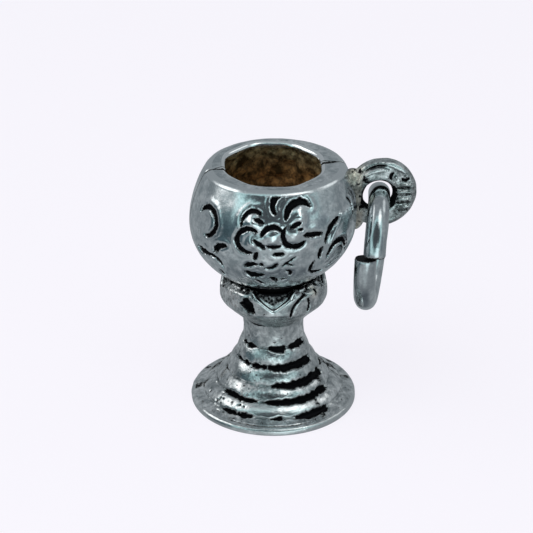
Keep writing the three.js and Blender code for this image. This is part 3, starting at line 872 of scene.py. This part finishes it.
def eye_blank():
    """Points, normals and faces of the eye and its solder, melted together and smoothed."""
    parts = [eye_base()] + [ball(*lump) for lump in SOLDER_BALLS]
    verts, faces = [], []
    for points, quads in parts:
        shift = sum(len(part) for part in verts)
        verts.append(points)
        faces += [tuple(index + shift for index in quad) for quad in quads]
    mesh = bpy.data.meshes.new("eye_blank")
    mesh.from_pydata(np.vstack(verts).tolist(), [], faces)
    blank = bpy.data.objects.new("eye_blank", mesh)
    bpy.context.collection.objects.link(blank)
    remesh = blank.modifiers.new("weld", "REMESH")
    remesh.mode = "VOXEL"
    remesh.voxel_size = EYE_VOXEL
    smooth = blank.modifiers.new("soften", "SMOOTH")
    smooth.iterations = EYE_SMOOTHING
    smooth.factor = 0.5
    shaped = blank.evaluated_get(bpy.context.evaluated_depsgraph_get()).to_mesh()
    points = np.zeros(len(shaped.vertices) * 3)
    shaped.vertices.foreach_get("co", points)
    normal = np.zeros_like(points)
    shaped.vertices.foreach_get("normal", normal)
    quads = [tuple(face.vertices) for face in shaped.polygons]
    bpy.data.objects.remove(blank)
    bpy.data.meshes.remove(mesh)
    return points.reshape(-1, 3), normal.reshape(-1, 3), quads


def eye_piece():
    points, normal, quads = eye_blank()
    wobble = 0.5 * rough_noise(points, 0.15, 2)
    depth, _, black = stroke_field(points[:, 0], points[:, 2], EYE_CUTS, 0, wobble)
    raised = stroke_field(points[:, 0], points[:, 2], EYE_RIDGES, 0, wobble)[0]
    front = smoothstep(-0.1, -0.6, normal[:, 1])
    solder = smoothstep(*SOLDER_X, points[:, 0] + 0.3 * rough_noise(points, 0.5, 2))
    from_hole = np.hypot(points[:, 0] - HOLE_X, points[:, 2] - HOLE_Z) - HOLE_R
    # Painted shade: the bore and a ragged band round the hole go dark
    bore_shade = smoothstep(0.2, 0.1, from_hole + 0.1 * rough_noise(points, 0.3, 2))
    pits = smoothstep(0.76, 0.84, value_noise(points, 0.2, 23.0)) * smoothstep(*EYE_PITS_X, points[:, 0])
    push = front * (EYE_RAISE * raised - depth) - EYE_PIT_DEPTH * pits
    push = push + EYE_SKIN * rough_noise(points, 0.45, 3, 6.0)
    points = points + normal * push[:, None]
    lowland = 1 - smoothstep(0.01, 0.05, raised)
    tarnish = EYE_TARNISH * front * smoothstep(*EYE_TARNISH_X, points[:, 0]) * lowland
    proud = smoothstep(0.01, 0.06, raised)
    # Black is near full high on the eye, for the dots' painted shadows and the top channel, and faint on
    # the bars
    dots = 0.2 + 0.6 * smoothstep(*EYE_DOTS_Z, points[:, 2])
    values = {
        "oxide": np.clip(tarnish + dots * front * black * (1 - proud) + bore_shade + EYE_PIT_BLACK * pits, 0, 1),
        "brown": SOLDER_BROWN * solder,
        "polish": dots * front * proud,
    }
    return mesh_object("hanging_eye_dressed", points, quads, values, 60)


# Jump ring
def ring_path(count):
    """Middle of the wire, from the upper cut end over the top and round to the lower one."""
    t = np.linspace(0, 1, count)[:, None]
    angle = RING_CUT - RING_CUT_WIDTH / 2 - t * (2 * math.pi - RING_CUT_WIDTH)
    side = np.array([math.cos(RING_YAW), math.sin(RING_YAW), 0])
    ahead = np.array([math.sin(RING_YAW), -math.cos(RING_YAW), 0])
    up = np.array([0, 0, math.cos(RING_ROLL)]) + side * math.sin(RING_ROLL)
    sprung = RING_SPRUNG[0] + (RING_SPRUNG[1] - RING_SPRUNG[0]) * t
    turned = RING_TALL * up * np.cos(angle) + RING_DEEP * ahead * np.sin(angle)
    hump = np.exp(-((angle - RING_HUMP_AT) / RING_HUMP_WIDE) ** 2)
    bent = hump * (RING_HUMP * up - RING_HUMP_LEFT * side)
    return np.array(RING_CENTRE) + turned + side * sprung + bent


def ring_piece(steps, sides):
    path = ring_path(steps)
    tangent = np.gradient(path, axis=0)
    tangent /= np.linalg.norm(tangent, axis=1, keepdims=True)
    out = path - np.array(RING_CENTRE)
    out -= tangent * (out * tangent).sum(1, keepdims=True)
    out /= np.linalg.norm(out, axis=1, keepdims=True)
    across = np.cross(tangent, out)
    turn = np.linspace(0, 2 * math.pi, sides, endpoint=False)
    ends = np.minimum(np.arange(steps), np.arange(steps)[::-1])
    radius = WIRE_R * np.where(ends == 0, WIRE_CUT_ROUND, 1.0)
    circle = np.cos(turn)[:, None] * out[:, None] + np.sin(turn)[:, None] * across[:, None]
    grid = path[:, None] + circle * radius[:, None, None]
    grid = grid + circle * (WIRE_SKIN * rough_noise(grid, 0.8, 3, 8.0))[..., None]
    grid[0] += tangent[0] * WIRE_CUT_ROUGH * rough_noise(grid[0], 0.3, 2)[:, None]
    verts = np.vstack([path[:1], grid.reshape(-1, 3), path[-1:]])
    cut = np.zeros((steps, sides))
    cut[[0, -1]] = 0.9
    cut[[1, -2]] = 0.35
    values = {
        "oxide": np.concatenate([[1], cut.ravel(), [1]]),
        "brown": np.zeros(len(verts)),
        "polish": np.zeros(len(verts)),
    }
    return mesh_object("jump_ring_dressed", verts, lathe_faces(steps, sides, True), values, 40)


# Materials
def node(tree, kind, **settings):
    made = tree.nodes.new(kind)
    for key, value in settings.items():
        setattr(made, key, value)
    return made


def noise_of(tree, place, scale, detail, rough=0.55):
    made = node(tree, "ShaderNodeTexNoise")
    made.inputs["Scale"].default_value = scale
    made.inputs["Detail"].default_value = detail
    made.inputs["Roughness"].default_value = rough
    tree.links.new(place, made.inputs["Vector"])
    return made.outputs["Fac"]


def remap(tree, value, low, high, to_low, to_high):
    made = node(tree, "ShaderNodeMapRange", clamp=True)
    labels = ("From Min", "From Max", "To Min", "To Max")
    for label, number in zip(labels, (low, high, to_low, to_high)):
        made.inputs[label].default_value = number
    tree.links.new(value, made.inputs["Value"])
    return made.outputs["Result"]


def maths(tree, operation, first, second=0.0):
    made = node(tree, "ShaderNodeMath", operation=operation)
    for socket, value in zip(made.inputs, (first, second)):
        if isinstance(value, (int, float)):
            socket.default_value = value
        else:
            tree.links.new(value, socket)
    return made.outputs[0]


def mixed(tree, factor, first, second):
    made = node(tree, "ShaderNodeMix", data_type="RGBA")
    tree.links.new(factor, made.inputs["Factor"])
    sockets = [socket for socket in made.inputs if socket.type == "RGBA"]
    for socket, value in zip(sockets, (first, second)):
        if isinstance(value, tuple):
            socket.default_value = (*value, 1)
        else:
            tree.links.new(value, socket)
    return next(socket for socket in made.outputs if socket.type == "RGBA")


def attribute(tree, label):
    return node(tree, "ShaderNodeAttribute", attribute_name=label).outputs["Fac"]


def silver_material(name, light, dark, roughness, grain, specks):
    """Polished silver with a black oxide in its recesses and a brown film where the piece says so. The
    oxide values also carry painted shade, and the polish values a painted highlight on the front of the
    stem.
    """
    made = bpy.data.materials.new(name)
    made.use_nodes = True
    tree = made.node_tree
    tree.nodes.clear()
    shader = node(tree, "ShaderNodeBsdfPrincipled")
    output = node(tree, "ShaderNodeOutputMaterial")
    tree.links.new(shader.outputs["BSDF"], output.inputs["Surface"])
    coords = node(tree, "ShaderNodeTexCoord").outputs["Object"]
    scaled = node(tree, "ShaderNodeMapping")
    scaled.inputs["Scale"].default_value = (1 / MM, 1 / MM, 1 / MM)
    tree.links.new(coords, scaled.inputs["Vector"])
    place = scaled.outputs["Vector"]

    broad = noise_of(tree, place, 0.55, 4)
    blotch = noise_of(tree, place, 1.9, 6, 0.7)
    fine = noise_of(tree, place, 7.0, 5, 0.65)
    ragged = remap(tree, fine, 0.3, 0.7, -0.28, 0.28)
    spots = remap(tree, noise_of(tree, place, 4.5, 3, 0.6), specks, specks + 0.08, 0.0, 0.75)
    # Polish lightens the metal; on the front of the stem it is a painted highlight
    polish_and_highlight = attribute(tree, "polish")
    specked = maths(tree, "SUBTRACT", spots, polish_and_highlight)
    # The oxide values are real oxide and also painted shade: under the bowl, round the eye's hole and
    # beside its dots
    oxide_and_shade = maths(tree, "MAXIMUM", attribute(tree, "oxide"), specked)
    oxide = remap(tree, maths(tree, "ADD", oxide_and_shade, ragged), 0.35, 0.7, 0.0, 1.0)
    brown = attribute(tree, "brown")
    veins = maths(tree, "ABSOLUTE", maths(tree, "SUBTRACT", noise_of(tree, place, 1.3, 5, 0.6), 0.5))
    cracked = remap(tree, veins, 0.0, 0.06, 0.35, 1.0)
    film_tone = maths(tree, "MULTIPLY", remap(tree, blotch, 0.4, 0.62, 0.0, 1.0), cracked)
    dry = mixed(tree, remap(tree, brown, STAIN_PALE, 1.0, 0.0, 1.0), STAIN_OLIVE, STAIN_RED)
    stain = mixed(tree, film_tone, STAIN_DARK, dry)
    cloudy = remap(tree, broad, 0.3, 0.6, 0.5, 1.0)
    worn = maths(tree, "MULTIPLY", remap(tree, blotch, 0.4, 0.62, 0.15, 1.0), cloudy)
    metal = mixed(tree, maths(tree, "MAXIMUM", worn, polish_and_highlight), dark, light)
    covered = maths(tree, "MAXIMUM", brown, remap(tree, brown, 0.6, STAIN_PALE, 0.0, 1.0))
    tinted = mixed(tree, covered, metal, stain)
    colour = mixed(tree, oxide, tinted, OXIDE_BLACK)
    tree.links.new(colour, shader.inputs["Base Color"])
    coated = maths(tree, "MAXIMUM", oxide, maths(tree, "MULTIPLY", brown, 0.85))
    tree.links.new(maths(tree, "SUBTRACT", 1.0, coated), shader.inputs["Metallic"])
    polish = remap(tree, blotch, 0.35, 0.65, roughness + 0.12, roughness)
    film = maths(tree, "MULTIPLY", maths(tree, "MAXIMUM", oxide, brown), 0.42)
    tree.links.new(maths(tree, "MAXIMUM", polish, film), shader.inputs["Roughness"])
    dull = remap(tree, brown, 0.6, 0.9, 0.5, 0.06)
    shine = maths(tree, "MINIMUM", remap(tree, oxide, 0.0, 1.0, 0.5, 0.04), dull)
    tree.links.new(shine, shader.inputs["Specular IOR Level"])
    bump = node(tree, "ShaderNodeBump")
    bump.inputs["Strength"].default_value = grain
    bump.inputs["Distance"].default_value = 0.02 * MM
    scratch = node(tree, "ShaderNodeMapping")
    scratch.inputs["Scale"].default_value = (1, 1, 6)
    tree.links.new(place, scratch.inputs["Vector"])
    lines = noise_of(tree, scratch.outputs["Vector"], 5.0, 4, 0.7)
    tree.links.new(maths(tree, "ADD", fine, lines), bump.inputs["Height"])
    tree.links.new(bump.outputs["Normal"], shader.inputs["Normal"])
    return made


def floor_material():
    made = bpy.data.materials.new("pale_floor")
    made.use_nodes = True
    shader = made.node_tree.nodes["Principled BSDF"]
    shader.inputs["Base Color"].default_value = FLOOR_GREY
    shader.inputs["Roughness"].default_value = 0.9
    shader.inputs["Specular IOR Level"].default_value = 0.0
    shader.inputs["Emission Color"].default_value = FLOOR_GLOW
    shader.inputs["Emission Strength"].default_value = 1.0
    return made


# Stage
def add_floor():
    mesh = bpy.data.meshes.new("floor")
    signs = [(-1, -1), (1, -1), (1, 1), (-1, 1)]
    mesh.from_pydata([(x * FLOOR_HALF, y * FLOOR_HALF, 0) for x, y in signs], [], [(0, 1, 2, 3)])
    floor = bpy.data.objects.new("floor", mesh)
    bpy.context.collection.objects.link(floor)
    mesh.materials.append(floor_material())
    floor.visible_glossy = False


def add_light(name, place, aim, size, power, colour):
    light = bpy.data.lights.new(name, "AREA")
    light.shape = "RECTANGLE"
    light.size, light.size_y = (side * MM for side in size)
    light.energy = power
    light.color = colour
    lamp = bpy.data.objects.new(name, light)
    lamp.location = Vector(place) * MM
    lamp.rotation_euler = (Vector(aim) - Vector(place)).to_track_quat("-Z", "Y").to_euler()
    lamp.visible_glossy = False
    bpy.context.collection.objects.link(lamp)


def towards(azimuth, elevation):
    """A direction from angles in radians: right of the front, and up."""
    across = math.cos(elevation)
    return Vector((math.sin(azimuth) * across, -math.cos(azimuth) * across, math.sin(elevation)))


def along(tree, coords, direction):
    """How far a point of the world lies in a direction, from -1 to 1."""
    made = node(tree, "ShaderNodeVectorMath", operation="DOT_PRODUCT")
    tree.links.new(coords, made.inputs[0])
    made.inputs[1].default_value = direction
    return made.outputs["Value"]


def figure_light(tree, coords):
    """Colour of the world round the dark figure, by the distance from its middle."""
    ahead = towards(FIGURE_AZIMUTH, FIGURE_ELEVATION)
    up = towards(FIGURE_AZIMUTH, FIGURE_ELEVATION + math.pi / 2)
    right = ahead.cross(up)
    squares = []
    for axis, half in zip((right, up), FIGURE_HALF):
        span = maths(tree, "DIVIDE", along(tree, coords, axis), half)
        squares.append(maths(tree, "MULTIPLY", span, span))
    apart = maths(tree, "SQRT", maths(tree, "ADD", *squares))
    uneven = remap(tree, noise_of(tree, coords, 3.5, 3), 0.3, 0.7, -EDGE_UNEVEN, EDGE_UNEVEN)
    apart = maths(tree, "ADD", apart, uneven)
    behind = remap(tree, along(tree, coords, ahead), 0.05, -0.05, 0.0, REACH)
    ramp = node(tree, "ShaderNodeValToRGB")
    tree.links.new(maths(tree, "DIVIDE", maths(tree, "MAXIMUM", apart, behind), REACH), ramp.inputs["Fac"])
    elements = ramp.color_ramp.elements
    inner, *_, outer = FIGURE_STOPS
    elements[0].color = (*inner[1], 1)
    elements[1].color = (*outer[1], 1)
    for at, colour in FIGURE_STOPS[1:-1]:
        elements.new(at / REACH).color = (*colour, 1)
    return ramp.outputs["Color"]


def add_world():
    world = bpy.data.worlds.new("studio")
    bpy.context.scene.world = world
    world.use_nodes = True
    tree = world.node_tree
    coords = node(tree, "ShaderNodeTexCoord").outputs["Generated"]
    total = figure_light(tree, coords)
    for azimuth, elevation, across, colour in PATCHES:
        facing = along(tree, coords, towards(math.radians(azimuth), math.radians(elevation)))
        edge = math.cos(math.radians(across / 2))
        glow = node(tree, "ShaderNodeVectorMath", operation="SCALE")
        glow.inputs[0].default_value = colour
        tree.links.new(remap(tree, facing, edge, (edge + 3) / 4, 0.0, 1.0), glow.inputs["Scale"])
        added = node(tree, "ShaderNodeVectorMath", operation="ADD")
        tree.links.new(glow.outputs[0], added.inputs[0])
        tree.links.new(total, added.inputs[1])
        total = added.outputs[0]
    tree.links.new(total, tree.nodes["Background"].inputs["Color"])


def add_camera():
    lens = bpy.data.cameras.new("camera")
    lens.lens = LENS
    lens.sensor_width = 36
    lens.clip_start = 0.005
    camera = bpy.data.objects.new("camera", lens)
    camera.location = Vector(CAMERA_AT) * MM
    camera.rotation_euler = (Vector(CAMERA_AIM) - Vector(CAMERA_AT)).to_track_quat("-Z", "Y").to_euler()
    bpy.context.collection.objects.link(camera)
    bpy.context.scene.camera = camera


def dress(piece, node_name, material):
    """Put a piece in the place of a node of the solids, with its material."""
    piece.data.materials.append(material)
    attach(piece, "root")
    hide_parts(node_name)


add_camera()
bpy.context.scene.view_settings.view_transform = "Standard"
add_world()
add_floor()
add_light("key", KEY_AT, KEY_AIM, KEY_SIZE, KEY_POWER, KEY_COLOUR)

silver = {name: silver_material(name, *look) for name, look in SILVERS.items()}
front_strokes = FLOWER + SMALL_FLOWER + LEFT_SCROLL + RIGHT_LEAF
back_strokes = FLOWER + LEFT_SCROLL + RIGHT_LEAF
bowl_front = bowl_half("bowl_front_dressed", -1, FRONT_COLUMNS, FRONT_ROWS, front_strokes, FRONT)
bowl_back = bowl_half("bowl_back_dressed", 1, BACK_COLUMNS, BACK_ROWS, back_strokes, BACK)
dress(bowl_front, "bowl_front", silver["bowl_silver"])
dress(bowl_back, "bowl_back", silver["bowl_silver"])
dress(stem_piece(STEM_COLUMNS), "stem_foot", silver["stem_silver"])
dress(eye_piece(), "hanging_eye", silver["eye_silver"])
dress(ring_piece(RING_STEPS, RING_SIDES), "jump_ring", silver["wire_silver"])
